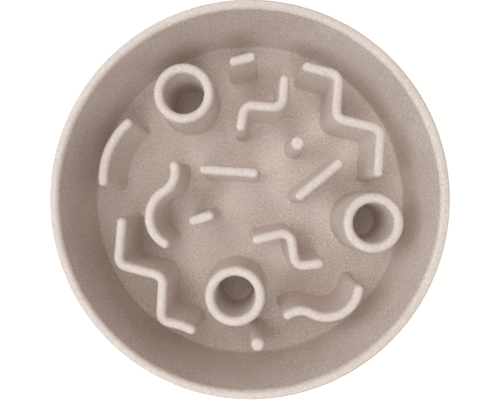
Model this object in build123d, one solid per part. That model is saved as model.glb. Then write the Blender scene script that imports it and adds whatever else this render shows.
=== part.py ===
"""Slow feeder bowl: a round dish with a raised maze on its floor and a rubber ring under its foot.

+Z is up and the origin lies on the ground under the middle of the bowl. Lengths are in millimetres,
angles in degrees. The left, right, back and front of the maze are -X, +X, +Y and -Y.
"""

import os
from math import atan2, degrees, hypot, radians, tan

from build123d import *

# Dish
rim_diameter = 200.0
dish_wall_thickness = 4.6
dish_draft_angle = 3.0
inner_depth = 57.0
floor_thickness = 4.5
rim_inner_edge_radius = 2.2
rim_outer_edge_radius = 1.0
inner_corner_radius = 1.6
outer_corner_radius = 7.0

# Foot under the dish, with the groove that holds the rubber ring
foot_height = 3.0
foot_land_width = 12.0
foot_edge_radius = 1.0
groove_width = 6.0
groove_depth = 1.8

# Rubber ring
grip_ring_proud = 1.0
grip_ring_edge_radius = 0.8
grip_ring_side_clearance = 0.1

# Maze walls, measured at their tops
maze_height = 41.6
maze_draft_angle = 1.6
maze_wall_thickness = 5.2
maze_top_radius = 2.4
maze_end_radius = 2.5
maze_root_radius = 1.1
root_radius_cut = 0.05
zigzag_inside_radius = 2.7
well_ring_radius = 16.0
peg_radius = 3.7
arc_radius = 39.0
s_outer_bend_radius = 16.0
wave_outer_bend_radius = 17.0

# Maze layout at the tops of the walls, as shares of the floor radius
well_ring_place_shares = {
    "maze_ring_left": (-0.379, 0.609),
    "maze_ring_right": (0.709, -0.134),
    "maze_ring_front": (-0.084, -0.554),
}
peg_place_shares = {
    "maze_peg_back": (0.277, 0.324),
    "maze_peg_front": (0.046, -0.830),
}
bar_end_shares = {
    "maze_bar_long": [(-0.286, 0.175), (0.052, 0.152)],
    "maze_bar_slanted": [(0.533, 0.225), (0.268, 0.006)],
    "maze_bar_short": [(-0.347, -0.128), (-0.204, -0.085)],
    "maze_bar_back": [(-0.116, 0.786), (0.035, 0.825)],
}
zigzag_path_shares = {
    "maze_zigzag_right": [(0.303, 0.768), (0.513, 0.714), (0.494, 0.468), (0.753, 0.405), (0.736, 0.130)],
    "maze_zigzag_left": [
        (-0.732, -0.102),
        (-0.756, -0.372),
        (-0.497, -0.441),
        (-0.512, -0.693),
        (-0.392, -0.721),
        (-0.311, -0.757),
    ],
    "maze_zigzag_back": [(0.203, 0.716), (0.189, 0.526), (-0.029, 0.544), (-0.055, 0.394)],
    "maze_zigzag_front": [(0.014, -0.234), (0.234, -0.183), (0.262, -0.385), (0.425, -0.363)],
}
arc_centre_share = (-0.419, 0.122)
arc_end_angles = (128.0, 186.0)
s_inner_bend_share = (-0.560, 0.161)
s_outer_bend_share = (-0.402, -0.100)
s_end_angles = (27.0, 250.0)
wave_inner_bend_share = (0.294, -0.769)
wave_outer_bend_share = (0.443, -0.491)
wave_end_angles = (137.0, 361.0)

# Levels, from the ground up
foot_level = grip_ring_proud
underside_level = foot_level + foot_height
floor_level = underside_level + floor_thickness
rim_level = floor_level + inner_depth

# Radii of the dish, whose inner and outer walls share one draft
dish_slope = tan(radians(dish_draft_angle))
rim_radius = rim_diameter / 2
rim_inner_radius = rim_radius - dish_wall_thickness
floor_radius = rim_inner_radius - inner_depth * dish_slope
foot_radius = rim_radius - (rim_level - foot_level) * dish_slope
land_outer_radius = foot_radius - outer_corner_radius
recess_radius = land_outer_radius - foot_land_width
groove_radius = (land_outer_radius + recess_radius) / 2
groove_inner_radius = groove_radius - groove_width / 2
groove_outer_radius = groove_radius + groove_width / 2

# Maze walls
maze_level = floor_level + maze_height
root_level = floor_level - root_radius_cut
zigzag_turn_radius = zigzag_inside_radius + maze_wall_thickness / 2


def placed(share):
    """Return the point of the floor plan at a share of the floor radius."""
    return (share[0] * floor_radius, share[1] * floor_radius)


def rounded(profile, corner, radius):
    """Return a flat profile with the corner nearest to a point rounded."""
    return fillet(profile.vertices().sort_by_distance(corner)[0], radius)


def make_dish():
    """Return the dish: rim, wall, floor and grooved foot, turned from one profile."""
    rim_outside = (rim_radius, rim_level)
    rim_inside = (rim_inner_radius, rim_level)
    floor_corner = (floor_radius, floor_level)
    underside_corner = (recess_radius, underside_level)
    foot_inside = (recess_radius, foot_level)
    foot_outside = (foot_radius, foot_level)
    groove_level = foot_level + groove_depth
    profile = make_face(
        Polyline(
            (0, floor_level),
            floor_corner,
            rim_inside,
            rim_outside,
            foot_outside,
            (groove_outer_radius, foot_level),
            (groove_outer_radius, groove_level),
            (groove_inner_radius, groove_level),
            (groove_inner_radius, foot_level),
            foot_inside,
            underside_corner,
            (0, underside_level),
            close=True,
        )
    )
    profile = rounded(profile, rim_inside, rim_inner_edge_radius)
    profile = rounded(profile, rim_outside, rim_outer_edge_radius)
    for corner in (foot_inside, underside_corner):
        profile = rounded(profile, corner, foot_edge_radius)
    profile = rounded(profile, floor_corner, inner_corner_radius)
    profile = rounded(profile, foot_outside, outer_corner_radius)
    return revolve(Plane.XZ * profile, Axis.Z)


def make_grip_ring():
    """Return the rubber ring that fills the groove and stands proud of the foot."""
    inner = groove_inner_radius + grip_ring_side_clearance
    outer = groove_outer_radius - grip_ring_side_clearance
    top = foot_level + groove_depth
    profile = make_face(Polyline((inner, 0), (outer, 0), (outer, top), (inner, top), close=True))
    for corner in ((inner, 0), (outer, 0)):
        profile = rounded(profile, corner, grip_ring_edge_radius)
    return revolve(Plane.XZ * profile, Axis.Z)


def mould(outline):
    """Return a maze piece of a given top outline: drafted, rounded at the top and flared on to the floor."""
    blank = extrude(Pos(0, 0, root_level) * outline, maze_level - root_level, dir=(0, 0, 1))
    upright_faces = blank.faces() - blank.faces().filter_by(Plane.XY)
    drafted = draft(upright_faces, Plane.XY.offset(maze_level), maze_draft_angle)
    bed_alignment = (Align.CENTER, Align.CENTER, Align.MAX)
    bed = Pos(0, 0, root_level) * Cylinder(rim_radius, floor_thickness, align=bed_alignment)
    piece = drafted + bed
    piece = fillet(piece.edges().group_by(Axis.Z)[-1], maze_top_radius)
    near_root_level = (root_level - root_radius_cut, root_level + root_radius_cut)
    bed_top_edges = piece.edges().filter_by_position(Axis.Z, *near_root_level)
    root_edges = bed_top_edges.filter_by(lambda edge: hypot((edge @ 0).X, (edge @ 0).Y) < floor_radius)
    piece = fillet(root_edges, maze_root_radius)
    return split(piece, bisect_by=Plane.XY.offset(floor_level), keep=Keep.TOP)


def make_wall(path):
    """Return a maze wall along a path, with square ends whose corners are rounded."""
    strip = trace(path, maze_wall_thickness)
    corners = ShapeList()
    for end in (path @ 0, path @ 1):
        corners.extend(strip.vertices().sort_by_distance(end)[:2])
    return mould(fillet(corners, maze_end_radius))


def make_bar(end_shares):
    """Return a straight maze wall."""
    start, end = end_shares
    return make_wall(Line(placed(start), placed(end)))


def make_zigzag(path_shares):
    """Return a maze wall of straight legs with rounded turns."""
    points = [placed(share) for share in path_shares]
    return make_wall(FilletPolyline(*points, radius=zigzag_turn_radius))


def make_arc_wall(centre_share, radius, end_angles):
    """Return a maze wall that bends one way."""
    start_angle, end_angle = end_angles
    return make_wall(CenterArc(placed(centre_share), radius, start_angle, end_angle - start_angle))


def make_two_bend_wall(inner_bend_share, outer_bend_share, outer_bend_radius, end_angles):
    """Return a maze wall of two opposite bends, which meet on the line between their centres."""
    inner_centre = placed(inner_bend_share)
    outer_centre = placed(outer_bend_share)
    run = outer_centre[0] - inner_centre[0]
    rise = outer_centre[1] - inner_centre[1]
    inner_bend_radius = hypot(run, rise) - outer_bend_radius
    meeting_angle = degrees(atan2(rise, run))
    opposite_angle = meeting_angle + 180
    start_angle, end_angle = end_angles
    first_bend = CenterArc(inner_centre, inner_bend_radius, start_angle, meeting_angle - start_angle)
    second_bend = CenterArc(outer_centre, outer_bend_radius, opposite_angle, end_angle - opposite_angle)
    return make_wall(Wire([first_bend, second_bend]))


def make_well_ring(place_share):
    """Return a maze ring, with a well that is open at the top."""
    ring = Circle(well_ring_radius) - Circle(well_ring_radius - maze_wall_thickness)
    return mould(Pos(*placed(place_share)) * ring)


def make_peg(place_share):
    """Return a round maze peg."""
    return mould(Pos(*placed(place_share)) * Circle(peg_radius))


def make_maze():
    """Return the maze pieces by name."""
    maze = {
        "maze_arc_wall": make_arc_wall(arc_centre_share, arc_radius, arc_end_angles),
        "maze_s_wall": make_two_bend_wall(
            s_inner_bend_share, s_outer_bend_share, s_outer_bend_radius, s_end_angles
        ),
        "maze_wave_wall": make_two_bend_wall(
            wave_inner_bend_share, wave_outer_bend_share, wave_outer_bend_radius, wave_end_angles
        ),
    }
    maze.update({name: make_zigzag(shares) for name, shares in zigzag_path_shares.items()})
    maze.update({name: make_bar(shares) for name, shares in bar_end_shares.items()})
    maze.update({name: make_well_ring(share) for name, share in well_ring_place_shares.items()})
    maze.update({name: make_peg(share) for name, share in peg_place_shares.items()})
    return maze


pieces = {"bowl_dish": make_dish(), "anti_slip_ring": make_grip_ring(), **make_maze()}

os.makedirs("parts", exist_ok=True)
for piece_name, piece in pieces.items():
    export_step(piece, f"parts/{piece_name}.step")
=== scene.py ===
"""Slow feeder bowl: the finishes, the underside details, the studio light and the camera.

The bowl is one moulding of plant fibre in pale resin, with a rubber ring under its foot. Lengths are in
metres in the model's own frame: +Z is up, the ground is at zero and +Y is the back of the maze.
"""

import logging
import math
from collections.abc import Callable, Iterable
from dataclasses import dataclass
from enum import Enum

import bmesh
import bpy
from mathutils import Color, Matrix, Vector


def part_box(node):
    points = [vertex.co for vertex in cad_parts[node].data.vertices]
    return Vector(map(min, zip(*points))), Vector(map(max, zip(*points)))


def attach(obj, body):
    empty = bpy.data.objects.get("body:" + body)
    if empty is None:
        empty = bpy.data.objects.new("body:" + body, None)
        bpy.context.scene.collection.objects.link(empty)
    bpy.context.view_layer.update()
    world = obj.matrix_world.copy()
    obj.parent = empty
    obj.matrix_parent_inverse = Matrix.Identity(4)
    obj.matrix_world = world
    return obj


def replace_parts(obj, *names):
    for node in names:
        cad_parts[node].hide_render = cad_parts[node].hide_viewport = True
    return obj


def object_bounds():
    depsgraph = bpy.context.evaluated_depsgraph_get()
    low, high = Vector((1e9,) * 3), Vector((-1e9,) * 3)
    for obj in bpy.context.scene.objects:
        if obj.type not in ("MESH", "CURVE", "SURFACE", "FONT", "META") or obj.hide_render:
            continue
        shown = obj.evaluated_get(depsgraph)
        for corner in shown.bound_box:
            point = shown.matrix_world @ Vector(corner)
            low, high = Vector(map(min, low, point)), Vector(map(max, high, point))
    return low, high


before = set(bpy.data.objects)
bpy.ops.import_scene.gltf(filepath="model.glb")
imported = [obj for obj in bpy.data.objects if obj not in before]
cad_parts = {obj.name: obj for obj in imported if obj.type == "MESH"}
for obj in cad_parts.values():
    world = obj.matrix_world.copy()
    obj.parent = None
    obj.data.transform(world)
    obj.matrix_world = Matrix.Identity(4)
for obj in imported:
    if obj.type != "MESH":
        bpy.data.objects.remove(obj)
CAD_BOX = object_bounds()
BODY = "root"
HAIR = 1e-6
SCREEN_WHITE = 255

# Places of the colour sockets on a Mix node
MIX_SHARE, MIX_GROUND, MIX_COLOUR, MIX_RESULT = 0, 6, 7, 2

log = logging.getLogger("slow_feeder_bowl")

Colour = tuple[float, float, float, float]
Tint = tuple[float, float, float]
Given = dict[str | int, object]
Place = tuple[float, float, float]
Reach = tuple[float, float]

WHITE: Colour = (1.0, 1.0, 1.0, 1.0)
AS_ADDED: Place = (1.0, 1.0, 1.0)


class Slot(Enum):
    """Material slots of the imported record."""

    MOULDING = "fibre_moulding"
    RUBBER = "grip_rubber"


class Socket(Enum):
    """Kinds of socket on an effect group."""

    VALUE = "NodeSocketFloat"
    VECTOR = "NodeSocketVector"


class Part(Enum):
    """Parts of a mesh that can be picked."""

    POINTS = "VERT"
    EDGES = "EDGE"


def screen_colour(red: int, green: int, blue: int) -> Colour:
    """Turn a colour as a screen shows it into the linear colour that a shader takes.

    Args:
        red: Red, from 0 to 255.
        green: Green, from 0 to 255.
        blue: Blue, from 0 to 255.

    Returns:
        The linear colour with full alpha.
    """
    shown = Color([channel / SCREEN_WHITE for channel in (red, green, blue)])
    return (*shown.from_srgb_to_scene_linear(), 1.0)


class NodeSheet:
    """A shader node tree being laid out, with short calls that add nodes and join them."""

    def __init__(self, tree: bpy.types.NodeTree) -> None:
        """Start on an emptied tree."""
        tree.nodes.clear()
        self.tree = tree

    def feed(self, node: bpy.types.Node, given: Given) -> None:
        """Feed a node's inputs.

        Args:
            node: The node.
            given: What each input takes, by its name or place: a socket is joined, anything else is set.
        """
        for key, value in given.items():
            if isinstance(value, bpy.types.NodeSocket):
                self.tree.links.new(value, node.inputs[key])
            else:
                node.inputs[key].default_value = value

    def add(self, kind: str, given: Given | None = None, **settings: object) -> bpy.types.Node:
        """Add a node, set it up and feed its inputs.

        Args:
            kind: The node's type, without the leading ShaderNode.
            given: What each input takes, as in feed.
            settings: The node's own settings.

        Returns:
            The new node.
        """
        node = self.tree.nodes.new(kind if kind.startswith("NodeGroup") else f"ShaderNode{kind}")
        for name, setting in settings.items():
            setattr(node, name, setting)
        self.feed(node, given or {})
        return node

    def calc(self, operation: str, *terms: object) -> bpy.types.NodeSocket:
        """Add a Math node.

        Args:
            operation: The node's operation.
            terms: Sockets or numbers, in the order that the operation takes them.

        Returns:
            The socket that holds the result.
        """
        return self.add("Math", dict(enumerate(terms)), operation=operation).outputs[0]

    def calc_vector(self, operation: str, *terms: object) -> bpy.types.NodeSocket:
        """Add a Vector Math node that gives a vector.

        Args:
            operation: The node's operation.
            terms: Sockets or vectors, in the order that the operation takes them.

        Returns:
            The socket that holds the resulting vector.
        """
        return self.add("VectorMath", dict(enumerate(terms)), operation=operation).outputs[0]

    def scaled(self, vector: bpy.types.NodeSocket, factor: object) -> bpy.types.NodeSocket:
        """Return a vector times a number."""
        return self.add("VectorMath", {0: vector, "Scale": factor}, operation="SCALE").outputs[0]

    def length(self, vector: bpy.types.NodeSocket) -> bpy.types.NodeSocket:
        """Return the length of a vector."""
        return self.add("VectorMath", {0: vector}, operation="LENGTH").outputs["Value"]

    def ramp(self, value: object, low: float, high: float) -> bpy.types.NodeSocket:
        """Return a smooth step that is 0 at low and 1 at high, which may be the lower of the two."""
        steps = {"Value": value, "From Min": low, "From Max": high}
        return self.add("MapRange", steps, interpolation_type="SMOOTHSTEP").outputs[0]

    def between(self, share: object, low: float, high: float) -> bpy.types.NodeSocket:
        """Return the value that lies at a share of the way from low to high."""
        return self.add("MapRange", {"Value": share, "To Min": low, "To Max": high}).outputs[0]

    def tint(self, share: object, ground: object, colour: object) -> bpy.types.NodeSocket:
        """Lay a colour over another.

        Args:
            share: How much of the colour covers the ground.
            ground: The colour underneath.
            colour: The colour on top.

        Returns:
            The socket that holds the mixed colour.
        """
        given = {MIX_SHARE: share, MIX_GROUND: ground, MIX_COLOUR: colour}
        return self.add("Mix", given, data_type="RGBA").outputs[MIX_RESULT]

    def background_rays(self) -> bpy.types.NodeSocket:
        """Pick out the rays that show the background: from the camera, from gloss and through glass.

        Returns:
            The socket that holds 1 for such a ray and 0 for any other.
        """
        path = self.add("LightPath").outputs
        seen = self.calc("MAXIMUM", path["Is Camera Ray"], path["Is Glossy Ray"])
        return self.calc("MAXIMUM", seen, path["Is Transmission Ray"])


class Surface(NodeSheet):
    """A material being laid out, with its Principled shader and the point that it is seen at."""

    def __init__(self, name: str) -> None:
        """Start the material.

        Args:
            name: The material's name.
        """
        self.material = bpy.data.materials.new(name)
        self.material.use_nodes = True
        super().__init__(self.material.node_tree)
        self.shader = self.add("BsdfPrincipled")
        self.add("OutputMaterial", {"Surface": self.shader.outputs[0]})
        self.point = self.add("TexCoord").outputs["Object"]

    def bump(self, height: object, strength: float, depth: float) -> bpy.types.NodeSocket:
        """Return the normal of a surface roughened by a height."""
        given = {"Height": height, "Strength": strength, "Distance": depth}
        return self.add("Bump", given).outputs[0]

    def finish(self, **given: object) -> bpy.types.Material:
        """Feed the shader and hand over the material.

        Args:
            given: What each of the shader's inputs takes, by its name with underscores for spaces.

        Returns:
            The material.
        """
        self.feed(self.shader, {name.replace("_", " "): value for name, value in given.items()})
        return self.material


class Effect:
    """A surface effect as a shader node group, built on its first use and shared after that."""

    name = ""
    inputs: dict[str, Socket] = {}
    output = "Mask"

    def draw(self, sheet: NodeSheet, given: bpy.types.NodeOutputs) -> bpy.types.NodeSocket:
        """Lay out the group.

        Args:
            sheet: The group's empty sheet.
            given: The group's input sockets, by name.

        Returns:
            The socket that the group puts out.
        """
        raise NotImplementedError

    def group(self) -> bpy.types.NodeTree:
        """Find the node group, or build it on the first call.

        Returns:
            The group.
        """
        made = bpy.data.node_groups.get(self.name)
        if made:
            return made
        tree = bpy.data.node_groups.new(self.name, "ShaderNodeTree")
        for name, kind in self.inputs.items():
            tree.interface.new_socket(name=name, in_out="INPUT", socket_type=kind.value)
        tree.interface.new_socket(name=self.output, in_out="OUTPUT", socket_type=Socket.VALUE.value)
        sheet = NodeSheet(tree)
        result = self.draw(sheet, sheet.add("NodeGroupInput").outputs)
        sheet.add("NodeGroupOutput", {self.output: result})
        return tree

    def place(self, surface: Surface, **given: object) -> bpy.types.NodeSocket:
        """Put the effect into a material.

        Args:
            surface: The material.
            given: What each input but the point takes, by its name.

        Returns:
            The effect's output socket.
        """
        return surface.add("Group", {"Point": surface.point, **given}, node_tree=self.group()).outputs[0]


class Flecks(Effect):
    """Short fibres at random places and angles in the material, cut wherever the surface meets them."""

    name = "Fibre flecks"
    inputs = {
        "Point": Socket.VECTOR,
        "Spacing": Socket.VALUE,
        "Length": Socket.VALUE,
        "Width": Socket.VALUE,
        "Share": Socket.VALUE,
    }
    core_share = 0.55

    def draw(self, sheet: NodeSheet, given: bpy.types.NodeOutputs) -> bpy.types.NodeSocket:
        """Lay out one fibre in each cell of a Voronoi pattern, turned by the cell's own colour.

        Args:
            sheet: The group's empty sheet.
            given: The group's input sockets, by name.

        Returns:
            The mask of the fibres, which fades from the core of a fibre to its edge.
        """
        cells = sheet.scaled(given["Point"], sheet.calc("DIVIDE", 1.0, given["Spacing"]))
        pattern = sheet.add("TexVoronoi", {"Vector": cells, "Scale": 1.0}).outputs
        offset = sheet.calc_vector("SUBTRACT", cells, pattern["Position"])
        turn = {"Vector": offset, "Rotation": sheet.scaled(pattern["Color"], math.tau)}
        turned = sheet.add("VectorRotate", turn, rotation_type="EULER_XYZ").outputs[0]
        two_cells = sheet.calc("MULTIPLY", 2.0, given["Spacing"])
        half_length = sheet.calc("DIVIDE", given["Length"], two_cells)
        half_width = sheet.calc("DIVIDE", given["Width"], two_cells)
        extent = sheet.add("CombineXYZ", {"X": half_length, "Y": half_width, "Z": half_width}).outputs[0]
        reach = sheet.length(sheet.calc_vector("DIVIDE", turned, extent))
        chance = sheet.add("TexWhiteNoise", {"Vector": pattern["Position"]}).outputs["Value"]
        kept = sheet.calc("LESS_THAN", chance, given["Share"])
        return sheet.calc("MULTIPLY", sheet.ramp(reach, 1.0, self.core_share), kept)


class Mottle(Effect):
    """Soft uneven patches, from 0 to 1 with a middle of a half."""

    name = "Mottle"
    inputs = {"Point": Socket.VECTOR, "Size": Socket.VALUE}
    output = "Value"
    octaves = 3.0

    def draw(self, sheet: NodeSheet, given: bpy.types.NodeOutputs) -> bpy.types.NodeSocket:
        """Lay out a noise at the given patch size.

        Args:
            sheet: The group's empty sheet.
            given: The group's input sockets, by name.

        Returns:
            The value of the patches.
        """
        scale = sheet.calc("DIVIDE", 1.0, given["Size"])
        noise = sheet.add("TexNoise", {"Vector": given["Point"], "Scale": scale, "Detail": self.octaves})
        return noise.outputs[0]


class LevelBand(Effect):
    """A band about a level: 1 at the level, fading to 0 at its depth. It marks real wear at the foot and
    the rubber's underside, and along the rim and the maze tops it marks worn paler edges with a painted
    highlight.
    """

    name = "Level band"
    inputs = {"Point": Socket.VECTOR, "Level": Socket.VALUE, "Depth": Socket.VALUE}

    def draw(self, sheet: NodeSheet, given: bpy.types.NodeOutputs) -> bpy.types.NodeSocket:
        """Lay out the distance from the level as a share of the depth.

        Args:
            sheet: The group's empty sheet.
            given: The group's input sockets, by name.

        Returns:
            The mask of the band.
        """
        height = sheet.add("SeparateXYZ", {0: given["Point"]}).outputs["Z"]
        apart = sheet.calc("ABSOLUTE", sheet.calc("SUBTRACT", given["Level"], height))
        return sheet.ramp(sheet.calc("DIVIDE", apart, given["Depth"]), 1.0, 0.0)


@dataclass(frozen=True)
class FleckLayer:
    """One kind of fibre in the moulding."""

    colour: Colour
    spacing: float
    length: float
    width: float
    share: float
    strength: float

    def cover(self, surface: Surface, ground: bpy.types.NodeSocket) -> bpy.types.NodeSocket:
        """Lay the fibres over a colour.

        Args:
            surface: The material.
            ground: The colour underneath.

        Returns:
            The flecked colour.
        """
        mask = Flecks().place(
            surface, Spacing=self.spacing, Length=self.length, Width=self.width, Share=self.share
        )
        return surface.tint(surface.calc("MULTIPLY", mask, self.strength), ground, self.colour)


STRAW = FleckLayer(
    colour=screen_colour(252, 249, 245),
    spacing=1.4e-3,
    length=1.6e-3,
    width=0.50e-3,
    share=0.85,
    strength=0.65,
)
HUSK = FleckLayer(
    colour=screen_colour(176, 153, 137),
    spacing=1.6e-3,
    length=1.7e-3,
    width=0.45e-3,
    share=0.75,
    strength=0.45,
)
SPECK = FleckLayer(
    colour=screen_colour(122, 94, 77),
    spacing=2.0e-3,
    length=1.1e-3,
    width=0.62e-3,
    share=0.55,
    strength=0.65,
)


@dataclass(frozen=True)
class FibreMoulding:
    """Plant fibre in pale resin: a greige ground with straw fibres, husk flecks and dark specks."""

    ground: Colour = screen_colour(230, 219, 211)
    cloud: Colour = screen_colour(222, 209, 200)
    cloud_size: float = 22e-3
    cloud_reach: Reach = (0.35, 0.65)
    dark_speckle: Colour = screen_colour(207, 193, 184)
    dark_speckle_reach: Reach = (0.50, 0.76)
    pale_speckle: Colour = screen_colour(246, 239, 233)
    pale_speckle_reach: Reach = (0.50, 0.26)
    speckle_size: float = 1.2e-3
    layers: tuple[FleckLayer, ...] = (STRAW, HUSK, SPECK)
    # Paler colour along the rim and the maze tops: partly wear, partly a painted highlight on the tops.
    wear_and_highlight: Colour = screen_colour(237, 228, 221)
    wear_and_highlight_depth: float = 2.2e-3
    wear_and_highlight_share: float = 0.4
    scuff: Colour = screen_colour(176, 165, 156)
    scuff_depth: float = 3.0e-3
    scuff_size: float = 5.0e-3
    scuff_reach: Reach = (0.42, 0.66)
    grain_size: float = 0.7e-3
    grain_height: float = 0.05e-3
    grain_strength: float = 0.6
    grain_reach: Reach = (0.2, 0.8)
    smooth: float = 0.48
    rough: float = 0.66

    def resin(self, surface: Surface) -> bpy.types.NodeSocket:
        """Lay out the resin: wide clouds, with a fine dark and pale speckle over them.

        Args:
            surface: The material.

        Returns:
            The resin's colour.
        """
        cloud = surface.ramp(Mottle().place(surface, Size=self.cloud_size), *self.cloud_reach)
        colour = surface.tint(cloud, self.ground, self.cloud)
        speckle = Mottle().place(surface, Size=self.speckle_size)
        colour = surface.tint(surface.ramp(speckle, *self.dark_speckle_reach), colour, self.dark_speckle)
        return surface.tint(surface.ramp(speckle, *self.pale_speckle_reach), colour, self.pale_speckle)

    def scuffed(
        self, surface: Surface, ground: bpy.types.NodeSocket, level: float
    ) -> bpy.types.NodeSocket:
        """Lay scuffed patches over a colour.

        Args:
            surface: The material.
            ground: The colour underneath.
            level: The height of the foot, where the scuffs are strongest.

        Returns:
            The scuffed colour.
        """
        foot = LevelBand().place(surface, Level=level, Depth=self.scuff_depth)
        patches = surface.ramp(Mottle().place(surface, Size=self.scuff_size), *self.scuff_reach)
        return surface.tint(surface.calc("MULTIPLY", foot, patches), ground, self.scuff)

    def material(
        self, name: str, wear_and_highlight_level: float, scuffed_level: float | None = None
    ) -> bpy.types.Material:
        """Make the material.

        Args:
            name: The material's name.
            wear_and_highlight_level: The height of the edge that is made paler, partly as wear and partly
                as a painted highlight.
            scuffed_level: The height of the foot that is scuffed, if the piece has one.

        Returns:
            The material.
        """
        surface = Surface(name)
        colour = self.resin(surface)
        for layer in self.layers:
            colour = layer.cover(surface, colour)
        # Rim and maze tops are painted paler, partly as wear and partly as a painted highlight; the same
        # mask also makes them smoother.
        band = LevelBand().place(surface, Level=wear_and_highlight_level, Depth=self.wear_and_highlight_depth)
        wear_and_highlight_mask = surface.calc("MULTIPLY", band, self.wear_and_highlight_share)
        colour = surface.tint(wear_and_highlight_mask, colour, self.wear_and_highlight)
        if scuffed_level is not None:
            colour = self.scuffed(surface, colour, scuffed_level)
        grain = Mottle().place(surface, Size=self.grain_size)
        coarse = surface.calc("SUBTRACT", surface.ramp(grain, *self.grain_reach), wear_and_highlight_mask)
        return surface.finish(
            Base_Color=colour,
            Roughness=surface.between(coarse, self.smooth, self.rough),
            Normal=surface.bump(grain, self.grain_strength, self.grain_height),
        )


@dataclass(frozen=True)
class GripRubber:
    """Matte rubber in a warm dark grey, with a fine grain, a little dust and a paler worn underside."""

    ground: Colour = screen_colour(92, 86, 82)
    worn: Colour = screen_colour(116, 110, 105)
    worn_depth: float = 0.5e-3
    dust: Colour = screen_colour(150, 142, 134)
    dust_size: float = 9e-3
    dust_reach: Reach = (0.45, 0.75)
    dust_share: float = 0.35
    grain_size: float = 0.35e-3
    grain_height: float = 0.04e-3
    grain_strength: float = 0.5
    smooth: float = 0.7
    rough: float = 0.9

    def material(self, ground_level: float) -> bpy.types.Material:
        """Make the material.

        Args:
            ground_level: The height at which the rubber meets the ground.

        Returns:
            The material.
        """
        surface = Surface("grip_rubber_finish")
        worn = LevelBand().place(surface, Level=ground_level, Depth=self.worn_depth)
        colour = surface.tint(worn, self.ground, self.worn)
        dusty = surface.ramp(Mottle().place(surface, Size=self.dust_size), *self.dust_reach)
        colour = surface.tint(surface.calc("MULTIPLY", dusty, self.dust_share), colour, self.dust)
        grain = Mottle().place(surface, Size=self.grain_size)
        return surface.finish(
            Base_Color=colour,
            Roughness=surface.between(grain, self.smooth, self.rough),
            Normal=surface.bump(grain, self.grain_strength, self.grain_height),
        )


class Workpiece:
    """A new piece on the bench: a primitive that is shaped in edit mode and then finished."""

    smooth_below_deg = 35.0

    def __init__(self, name: str, scale: Place = AS_ADDED) -> None:
        """Open the primitive that was just added for editing, with its size and place put into its mesh.

        Args:
            name: The piece's name.
            scale: The primitive's size along its own axes, over the size that it was added at.
        """
        self.object = bpy.context.object
        self.object.name = name
        self.object.scale = scale
        bpy.ops.object.transform_apply(location=True, rotation=True, scale=True)
        bpy.ops.object.mode_set(mode="EDIT")

    def pick(self, part: Part, wanted: Callable[[Vector], bool]) -> None:
        """Select some points or edges, and nothing else.

        Args:
            part: What is picked from.
            wanted: Tells of the middle of a point or an edge whether it is selected.
        """
        bpy.ops.mesh.select_mode(type=part.value)
        bpy.ops.mesh.select_all(action="DESELECT")
        mesh = bmesh.from_edit_mesh(self.object.data)
        for item in mesh.verts if part is Part.POINTS else mesh.edges:
            points = [item] if part is Part.POINTS else item.verts
            middle = sum((point.co for point in points), Vector()) / len(points)
            item.select_set(wanted(middle))
        mesh.select_flush_mode()
        bmesh.update_edit_mesh(self.object.data)

    def pick_all(self) -> None:
        """Select the whole mesh."""
        bpy.ops.mesh.select_all(action="SELECT")

    def lift(self, height: float) -> None:
        """Move what is selected straight up."""
        bpy.ops.transform.translate(value=(0.0, 0.0, height))

    def pull(self, height: float) -> None:
        """Extrude what is selected straight up."""
        bpy.ops.mesh.extrude_region_move(TRANSFORM_OT_translate={"value": (0.0, 0.0, height)})

    def finish(self, slot: Slot, material: bpy.types.Material) -> bpy.types.Object:
        """Close the mesh, shade it, dress it and fasten it to the bowl.

        Args:
            slot: Not used.
            material: The finish.

        Returns:
            The finished object.
        """
        self.pick_all()
        bpy.ops.mesh.remove_doubles(threshold=HAIR)
        bpy.ops.mesh.normals_make_consistent(inside=False)
        bpy.ops.object.mode_set(mode="OBJECT")
        bpy.ops.object.shade_smooth_by_angle(angle=math.radians(self.smooth_below_deg))
        self.object.data.materials.append(material)
        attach(self.object, BODY)
        log.info("built %s with %d faces", self.object.name, len(self.object.data.polygons))
        return self.object


@dataclass
class Bowl:
    """The moulding: the dish and the maze that rises from its floor."""

    dish_node: str = "bowl_dish"
    maze_prefix: str = "maze_"

    def maze_nodes(self) -> list[str]:
        """Return the names of the maze's nodes."""
        return sorted(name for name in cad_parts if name.startswith(self.maze_prefix))

    @staticmethod
    def cover(nodes: Iterable[str], material: bpy.types.Material) -> None:
        """Give CAD nodes a finish.

        Args:
            nodes: The nodes' names.
            material: The finish.
        """
        for name in nodes:
            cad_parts[name].material_slots[0].material = material
            log.info("dressed %s", name)

    def dress(self, finish: FibreMoulding) -> bpy.types.Material:
        """Give the dish and the maze their finish, paler along the rim and the maze tops: partly wear,
        partly a painted highlight.

        Args:
            finish: The moulding's finish.

        Returns:
            The dish's material.
        """
        maze = self.maze_nodes()
        foot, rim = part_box(self.dish_node)
        dish_material = finish.material("dish_finish", rim.z, foot.z)
        self.cover([self.dish_node], dish_material)
        maze_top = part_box(maze[0])[1].z
        self.cover(maze, finish.material("maze_finish", maze_top))
        return dish_material


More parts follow.
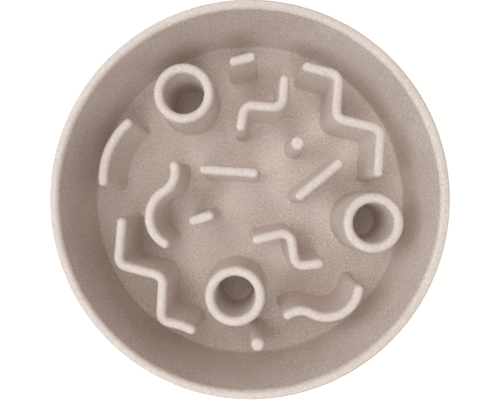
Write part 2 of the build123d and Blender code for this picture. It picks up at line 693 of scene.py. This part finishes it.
@dataclass(frozen=True)
class TreadPlan:
    """Where lands and grooves of equal width lie along the underside of the rubber ring's section."""

    inner_radius: float
    width: float
    ground: float
    grooves: int
    groove_parts: int = 3

    def strips(self) -> int:
        """Return the number of lands and grooves."""
        return 2 * self.grooves + 1

    def strip_place(self, point: Vector) -> float:
        """Return how many strips outwards a point lies."""
        return (point.x - self.inner_radius) / self.width * self.strips()

    def under(self, point: Vector) -> bool:
        """Tell whether a point lies on the underside."""
        return abs(point.z - self.ground) < HAIR

    def in_groove(self, point: Vector) -> bool:
        """Tell whether a point of the underside lies in a groove, which is every second strip."""
        return self.under(point) and int(self.strip_place(point)) % 2 == 1

    def in_groove_bottom(self, point: Vector) -> bool:
        """Tell whether a point lies in the middle part of a groove."""
        slope_share = 1 / self.groove_parts
        return self.in_groove(point) and slope_share < self.strip_place(point) % 1 < 1 - slope_share

    def at_corner(self, point: Vector) -> bool:
        """Tell whether a point is the inner or the outer corner of the underside."""
        return self.under(point) and not HAIR < point.x - self.inner_radius < self.width - HAIR

    def at_lip(self, point: Vector) -> bool:
        """Tell whether a point of the underside, once the grooves are cut, is the lip of one."""
        return self.under(point) and not self.at_corner(point)


@dataclass
class GripRing:
    """The rubber ring in the foot's groove, with tread grooves round its underside."""

    node: str = "anti_slip_ring"
    width: float = 5.8e-3
    edge_radius: float = 0.8e-3
    edge_steps: int = 5
    tread_grooves: int = 2
    tread_depth: float = 0.45e-3
    tread_lip_radius: float = 0.12e-3
    tread_lip_steps: int = 2
    turn_steps: int = 192

    def build(self, finish: GripRubber) -> None:
        """Cut the ring's section from a plane, tread it and turn it round the bowl's axis.

        Args:
            finish: The ring's rubber.
        """
        low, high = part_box(self.node)
        inner_radius = high.x - self.width
        bpy.ops.object.select_all(action="DESELECT")
        bpy.ops.mesh.primitive_plane_add(
            size=1.0,
            location=(inner_radius + self.width / 2, 0.0, (low.z + high.z) / 2),
            rotation=(math.pi / 2, 0.0, 0.0),
        )
        ring = Workpiece("anti_slip_ring_tread", (self.width, high.z - low.z, 1.0))
        bpy.ops.mesh.delete(type="ONLY_FACE")
        self.cut_tread(ring, TreadPlan(inner_radius, self.width, low.z, self.tread_grooves))
        ring.pick_all()
        bpy.ops.mesh.spin(
            steps=self.turn_steps,
            angle=math.tau,
            use_auto_merge=True,
            center=(0.0, 0.0, 0.0),
            axis=(0.0, 0.0, 1.0),
        )
        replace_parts(ring.finish(Slot.RUBBER, finish.material(low.z)), self.node)

    def cut_tread(self, ring: Workpiece, plan: TreadPlan) -> None:
        """Shape the underside of the section: lands between grooves, and rounded outer corners.

        Args:
            ring: The section, as a closed outline.
            plan: The places of the lands and grooves.
        """
        ring.pick(Part.EDGES, plan.under)
        bpy.ops.mesh.subdivide(number_cuts=plan.strips() - 1)
        ring.pick(Part.EDGES, plan.in_groove)
        bpy.ops.mesh.subdivide(number_cuts=plan.groove_parts - 1)
        ring.pick(Part.EDGES, plan.in_groove_bottom)
        ring.lift(self.tread_depth)
        ring.pick(Part.POINTS, plan.at_lip)
        bpy.ops.mesh.bevel(
            offset=self.tread_lip_radius, segments=self.tread_lip_steps, affect="VERTICES"
        )
        ring.pick(Part.POINTS, plan.at_corner)
        bpy.ops.mesh.bevel(offset=self.edge_radius, segments=self.edge_steps, affect="VERTICES")


@dataclass
class GateMark:
    """The mark under the floor where the mould was filled: a shallow raised disc with a trimmed stub."""

    dish_node: str = "bowl_dish"
    recess_depth: float = 3.0e-3
    radius: float = 6.0e-3
    height: float = 0.4e-3
    stub_radius: float = 1.5e-3
    stub_height: float = 0.4e-3
    edge_radius: float = 0.15e-3
    edge_steps: int = 3
    edge_share: float = 0.99
    sides: int = 96

    def build(self, material: bpy.types.Material) -> None:
        """Pull the disc and its stub down from the underside of the floor.

        Args:
            material: The moulding's finish.
        """
        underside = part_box(self.dish_node)[0].z + self.recess_depth
        disc_level = underside - self.height
        edges = {disc_level: self.radius, disc_level - self.stub_height: self.stub_radius}

        def on_edge(middle: Vector) -> bool:
            """Tell whether a point lies on the edge of the disc or of the stub."""
            return any(
                abs(middle.z - level) < HAIR and middle.xy.length > self.edge_share * radius
                for level, radius in edges.items()
            )

        bpy.ops.object.select_all(action="DESELECT")
        bpy.ops.mesh.primitive_circle_add(
            vertices=self.sides, radius=self.radius, fill_type="NGON", location=(0.0, 0.0, underside)
        )
        mark = Workpiece("gate_mark")
        mark.pick_all()
        mark.pull(-self.height)
        bpy.ops.mesh.inset(thickness=self.radius - self.stub_radius)
        mark.pull(-self.stub_height)
        mark.pick(Part.EDGES, on_edge)
        bpy.ops.mesh.bevel(offset=self.edge_radius, segments=self.edge_steps, affect="EDGES")
        mark.finish(Slot.MOULDING, material)


@dataclass
class PhotoCamera:
    """A camera straight above the bowl, at the distance that gives the photograph's perspective."""

    width_px: int = 500
    height_px: int = 400
    rim_centre_px: tuple[float, float] = (249.8, 199.6)
    rim_radius_px: float = 200.76
    rim_radius: float = 0.1
    height_over_rim: float = 0.2634
    sensor_width_mm: float = 36.0
    clip_start: float = 1e-3

    def build(self) -> None:
        """Make the camera and use it for the scene."""
        data = bpy.data.cameras.new("photo_camera")
        data.sensor_width = self.sensor_width_mm
        focal_px = self.rim_radius_px * self.height_over_rim / self.rim_radius
        data.lens = focal_px * self.sensor_width_mm / self.width_px
        data.shift_x = (self.width_px / 2 - self.rim_centre_px[0]) / self.width_px
        data.shift_y = (self.rim_centre_px[1] - self.height_px / 2) / self.width_px
        data.clip_start = self.clip_start
        camera = bpy.data.objects.new("photo_camera", data)
        camera.location.z = CAD_BOX[1].z + self.height_over_rim
        bpy.context.scene.collection.objects.link(camera)
        bpy.context.scene.camera = camera
        log.info("camera at %.3f m, lens %.2f mm", camera.location.z, data.lens)


@dataclass(frozen=True)
class SoftBox:
    """A square lamp that faces the bowl."""

    name: str
    bearing_deg: float
    elevation_deg: float
    power: float
    colour: Tint
    distance: float = 1.4
    side: float = 0.9

    def build(self, target: Vector) -> None:
        """Hang the lamp on its bearing from a point, facing it.

        Args:
            target: The point.
        """
        data = bpy.data.lights.new(self.name, "AREA")
        data.size = self.side
        data.energy = self.power
        data.color = self.colour
        lamp = bpy.data.objects.new(self.name, data)
        bearing = math.radians(self.bearing_deg)
        elevation = math.radians(self.elevation_deg)
        level = math.cos(elevation)
        away = Vector((level * math.cos(bearing), level * math.sin(bearing), math.sin(elevation)))
        lamp.location = target + away * self.distance
        lamp.rotation_euler = away.to_track_quat("Z", "Y").to_euler()
        bpy.context.scene.collection.objects.link(lamp)
        log.info("hung %s", self.name)


@dataclass
class Studio:
    """A white floor and surround, with soft lamps at the left, back and front, and even light."""

    floor_side: float = 8.0
    floor_colour: Colour = screen_colour(240, 239, 237)
    floor_roughness: float = 0.9
    floor_lift: float = 0.50
    far_floor_lift: float = 0.74
    floor_fade: Reach = (0.4, 2.0)
    ambient: float = 0.31
    ambient_colour: Tint = (1.0, 0.89, 0.88)
    lamps: tuple[SoftBox, ...] = (
        SoftBox("left_lamp", bearing_deg=180.0, elevation_deg=40.0, power=6.6, colour=(0.85, 0.94, 1.0)),
        SoftBox("back_lamp", bearing_deg=135.0, elevation_deg=65.0, power=4.7, colour=(1.0, 0.91, 0.80)),
        SoftBox("front_lamp", bearing_deg=270.0, elevation_deg=55.0, power=6.1, colour=(0.98, 1.0, 0.99)),
    )

    def build(self) -> None:
        """Set up the floor, the surround and the lamps."""
        self.build_floor()
        self.build_surround()
        for lamp in self.lamps:
            lamp.build(Vector((0.0, 0.0, CAD_BOX[1].z)))

    def build_floor(self) -> None:
        """Lay the floor, which keeps the bowl's shadow and is lifted to white as far as the horizon."""
        bpy.ops.object.select_all(action="DESELECT")
        bpy.ops.mesh.primitive_plane_add(size=self.floor_side)
        floor = bpy.context.object
        floor.name = "studio_floor"
        surface = Surface("studio_floor_finish")
        distance = surface.length(surface.point)
        lift = surface.between(
            surface.ramp(distance, *self.floor_fade), self.floor_lift, self.far_floor_lift
        )
        material = surface.finish(
            Base_Color=self.floor_colour,
            Roughness=self.floor_roughness,
            Emission_Color=WHITE,
            Emission_Strength=surface.calc("MULTIPLY", surface.background_rays(), lift),
        )
        floor.data.materials.append(material)

    def build_surround(self) -> None:
        """Light the scene evenly, and show white behind it."""
        world = bpy.data.worlds.new("studio_surround")
        world.use_nodes = True
        sheet = NodeSheet(world.node_tree)
        dimmed = (*(channel * self.ambient for channel in self.ambient_colour), 1.0)
        light = sheet.add("Background", {"Color": sheet.tint(sheet.background_rays(), dimmed, WHITE)})
        sheet.add("OutputWorld", {"Surface": light.outputs[0]})
        bpy.context.scene.world = world
        bpy.context.scene.view_settings.view_transform = "Standard"


def main() -> None:
    """Dress the bowl, build its underside details and set up its studio."""
    logging.basicConfig(level=logging.INFO, format="%(name)s: %(message)s")
    dish_material = Bowl().dress(FibreMoulding())
    GateMark().build(dish_material)
    GripRing().build(GripRubber())
    PhotoCamera().build()
    Studio().build()


if __name__ == "__main__":
    main()
